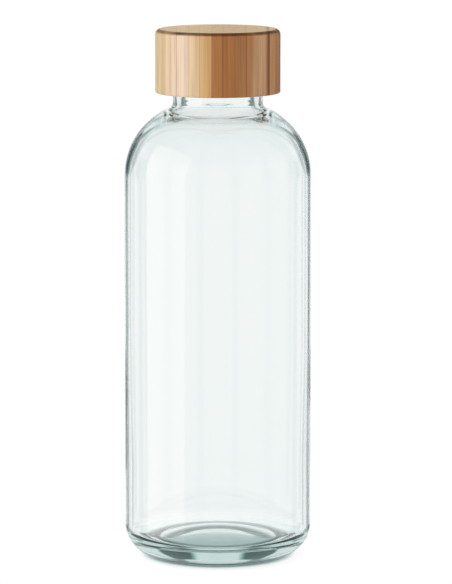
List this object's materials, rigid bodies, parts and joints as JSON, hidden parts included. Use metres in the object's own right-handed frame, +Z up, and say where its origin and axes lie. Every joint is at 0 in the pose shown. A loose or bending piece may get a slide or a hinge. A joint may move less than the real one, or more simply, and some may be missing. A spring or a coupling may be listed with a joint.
{
  "type": "glass water bottle",
  "caption": "Clear cylindrical drinking bottle with round shoulders, a short neck, a thick glass base and a screw-on lid turned from laminated bamboo, with a threaded liner and a sealing ring.",
  "frame": {"origin": "centre of the base, on the plane that the bottle stands on", "axes": "+Z up the bottle's axis towards the lid; +X across the lid's glue lines; +Y away from the viewer, along the slats' faces"},
  "size_m": [0.075, 0.075, 0.213],
  "materials": {
    "clear_glass": "clear polished soda-lime glass with a faint green tint",
    "silicone": "translucent white silicone, matt",
    "liner_plastic": "natural polypropylene, satin",
    "bamboo_pale": "pale bamboo, fine vertical fibres, satin varnish",
    "bamboo_tan": "tan bamboo, fine vertical fibres, satin varnish",
    "bamboo_brown": "brown carbonised bamboo, fine vertical fibres, satin varnish"
  },
  "bodies": {
    "bottle": {"glass_bottle": "clear_glass"},
    "seal": {"seal_ring": "silicone"},
    "lid": {"cap_liner": "liner_plastic", "cap_slat_01": "bamboo_pale", "cap_slat_02": "bamboo_pale", "cap_slat_03": "bamboo_pale", "cap_slat_04": "bamboo_tan", "cap_slat_05": "bamboo_tan", "cap_slat_06": "bamboo_brown", "cap_slat_07": "bamboo_brown", "cap_slat_08": "bamboo_brown", "cap_slat_09": "bamboo_brown", "cap_slat_10": "bamboo_brown", "cap_slat_11": "bamboo_brown"}
  },
  "joints": [
    {"name": "lid_rise", "type": "slide", "parent": "bottle", "child": "seal", "axis": [0, 0, 1], "range_m": [0, 0.0064]},
    {"name": "lid_turn", "type": "hinge", "parent": "seal", "child": "lid", "pos_m": [0, 0, 0.1875], "axis": [0, 0, 1], "range_deg": [0, 540]}
  ],
  "couplings": [
    {"joint": "lid_rise", "follows": "lid_turn", "m_per_rad": 0.00066845}
  ]
}
